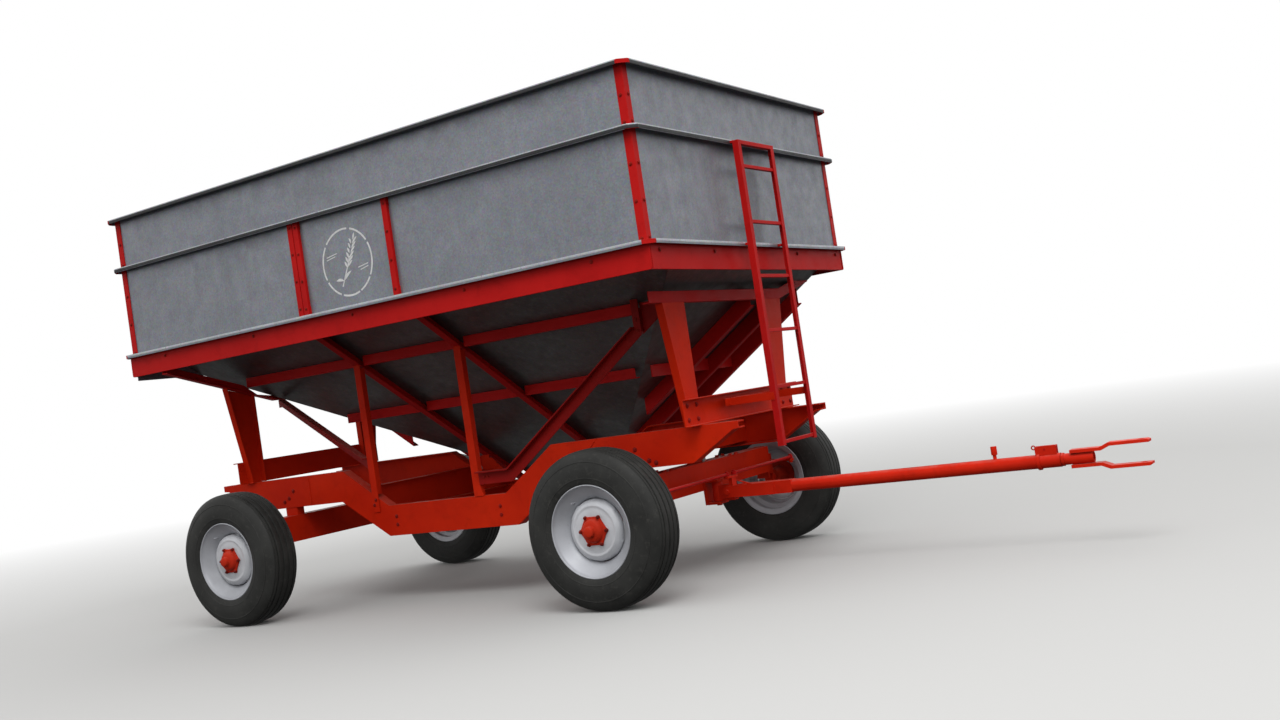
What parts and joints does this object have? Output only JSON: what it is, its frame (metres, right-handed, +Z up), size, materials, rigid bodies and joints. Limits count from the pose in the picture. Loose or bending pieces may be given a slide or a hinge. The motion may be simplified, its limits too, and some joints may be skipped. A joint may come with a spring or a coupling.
{
  "type": "gravity wagon",
  "caption": "Four-wheel grain wagon: open sheet-metal box on a sloped hopper with a side door and chute, steel running gear, steering tongue with sliding hitch, and front ladder.",
  "frame": {"origin": "middle of the footprint on the ground, below the bounding box centre", "axes": "+X forward along the tongue, +Y to the wagon's left (the unloading side), +Z up"},
  "size_m": [5.73, 2.45, 2.59],
  "materials": {
    "box_red": "semi-gloss paint",
    "chassis_red": "semi-gloss paint, orange-red",
    "galvanised_sheet": "weathered galvanised",
    "hopper_grey": "weathered galvanised, dusty",
    "tyre_rubber": "matt",
    "rim_silver": "silver paint",
    "bare_steel": "machined"
  },
  "bodies": {
    "wagon": {"side_panel_right": "galvanised_sheet", "side_panel_left": "galvanised_sheet", "end_panel_front": "galvanised_sheet", "end_panel_rear": "galvanised_sheet", "extension_right": "galvanised_sheet", "extension_left": "galvanised_sheet", "extension_front": "galvanised_sheet", "extension_rear": "galvanised_sheet", "corner_posts": "box_red", "panel_stiffeners": "box_red", "skirt_sides": "box_red", "skirt_ends": "box_red", "slope_sheet_side": "hopper_grey", "slope_sheet_front": "hopper_grey", "slope_sheet_rear": "hopper_grey", "discharge_wall": "hopper_grey", "slope_ribs_side": "box_red", "slope_ribs_front": "box_red", "slope_ribs_rear": "box_red", "cross_beam_front": "box_red", "cross_beam_rear": "box_red", "legs_front": "chassis_red", "legs_rear": "chassis_red", "bolster_front": "chassis_red", "bolster_rear": "chassis_red", "frame_rail_right": "chassis_red", "frame_rail_left": "chassis_red", "frame_crossmembers": "chassis_red", "support_posts": "chassis_red", "diagonal_braces": "box_red", "ladder_stiles": "box_red", "ladder_rungs": "box_red", "axle_beam_rear": "chassis_red", "axle_pivot_pin": "bare_steel", "door_guides": "box_red", "chute": "box_red"},
    "front_axle": {"axle_beam_front": "chassis_red"},
    "knuckle_right": {"knuckle_right": "chassis_red"},
    "knuckle_left": {"knuckle_left": "chassis_red"},
    "tie_rod_right": {"tie_rod_right": "box_red"},
    "tie_rod_left": {"tie_rod_left": "box_red"},
    "yoke": {"tongue_yoke": "chassis_red"},
    "tongue": {"tongue_tube": "chassis_red"},
    "hitch": {"hitch_slide": "chassis_red"},
    "latch": {"hitch_latch": "box_red"},
    "door": {"door_panel": "hopper_grey"},
    "door_drive": {"door_shaft": "box_red", "handwheel": "box_red"},
    "wheel_front_right": {"tyre_front_right": "tyre_rubber", "rim_front_right": "rim_silver", "hub_front_right": "chassis_red"},
    "wheel_front_left": {"tyre_front_left": "tyre_rubber", "rim_front_left": "rim_silver", "hub_front_left": "chassis_red"},
    "wheel_rear_right": {"tyre_rear_right": "tyre_rubber", "rim_rear_right": "rim_silver", "hub_rear_right": "chassis_red"},
    "wheel_rear_left": {"tyre_rear_left": "tyre_rubber", "rim_rear_left": "rim_silver", "hub_rear_left": "chassis_red"}
  },
  "joints": [
    {"name": "axle_rock", "type": "hinge", "parent": "wagon", "child": "front_axle", "pos_m": [0.441, -0.065, 0.628], "axis": [1, 0, 0], "range_deg": [-3.5, 3.5]},
    {"name": "tongue_swing", "type": "hinge", "parent": "front_axle", "child": "yoke", "pos_m": [0.563, -0.065, 0.43], "axis": [0, 0, 1], "range_deg": [-40, 40]},
    {"name": "steer_right", "type": "hinge", "parent": "front_axle", "child": "knuckle_right", "pos_m": [0.441, -0.915, 0.4], "axis": [0, 0, 1], "range_deg": [-17, 17]},
    {"name": "steer_left", "type": "hinge", "parent": "front_axle", "child": "knuckle_left", "pos_m": [0.441, 0.785, 0.4], "axis": [0, 0, 1], "range_deg": [-17, 17]},
    {"name": "tie_rod_swing_right", "type": "hinge", "parent": "yoke", "child": "tie_rod_right", "pos_m": [0.656, -0.107, 0.522], "axis": [0, 0, 1], "range_deg": [-45, 45]},
    {"name": "tie_rod_swing_left", "type": "hinge", "parent": "yoke", "child": "tie_rod_left", "pos_m": [0.656, -0.023, 0.522], "axis": [0, 0, 1], "range_deg": [-45, 45]},
    {"name": "tongue_lift", "type": "hinge", "parent": "yoke", "child": "tongue", "pos_m": [0.645, -0.065, 0.425], "axis": [0, -1, 0], "range_deg": [-8, 20]},
    {"name": "hitch_extend", "type": "slide", "parent": "tongue", "child": "hitch", "axis": [1, 0, 0], "range_m": [0, 0.25]},
    {"name": "latch_lift", "type": "hinge", "parent": "tongue", "child": "latch", "pos_m": [2.384, -0.065, 0.483], "axis": [0, -1, 0], "range_deg": [0, 10]},
    {"name": "wheel_turn_front_right", "type": "hinge", "parent": "knuckle_right", "child": "wheel_front_right", "pos_m": [0.441, -1.053, 0.4], "axis": [0, 1, 0], "continuous": true},
    {"name": "wheel_turn_front_left", "type": "hinge", "parent": "knuckle_left", "child": "wheel_front_left", "pos_m": [0.441, 0.923, 0.4], "axis": [0, 1, 0], "continuous": true},
    {"name": "wheel_turn_rear_right", "type": "hinge", "parent": "wagon", "child": "wheel_rear_right", "pos_m": [-2.245, -1.053, 0.4], "axis": [0, 1, 0], "continuous": true},
    {"name": "wheel_turn_rear_left", "type": "hinge", "parent": "wagon", "child": "wheel_rear_left", "pos_m": [-2.245, 0.923, 0.4], "axis": [0, 1, 0], "continuous": true},
    {"name": "door_slide", "type": "slide", "parent": "wagon", "child": "door", "axis": [0, 0, 1], "range_m": [0, 0.35]},
    {"name": "door_crank", "type": "hinge", "parent": "wagon", "child": "door_drive", "pos_m": [-1.02917, 1.135, 1.09], "axis": [0, 1, 0], "range_deg": [0, 670]}
  ],
  "couplings": [
    {"joint": "steer_right", "follows": "tongue_swing", "ratio": 0.41},
    {"joint": "steer_left", "follows": "tongue_swing", "ratio": 0.41},
    {"joint": "tie_rod_swing_right", "follows": "tongue_swing", "ratio": -1.1},
    {"joint": "tie_rod_swing_left", "follows": "tongue_swing", "ratio": -1.1},
    {"joint": "door_crank", "follows": "door_slide", "rad_per_m": 33.333}
  ]
}
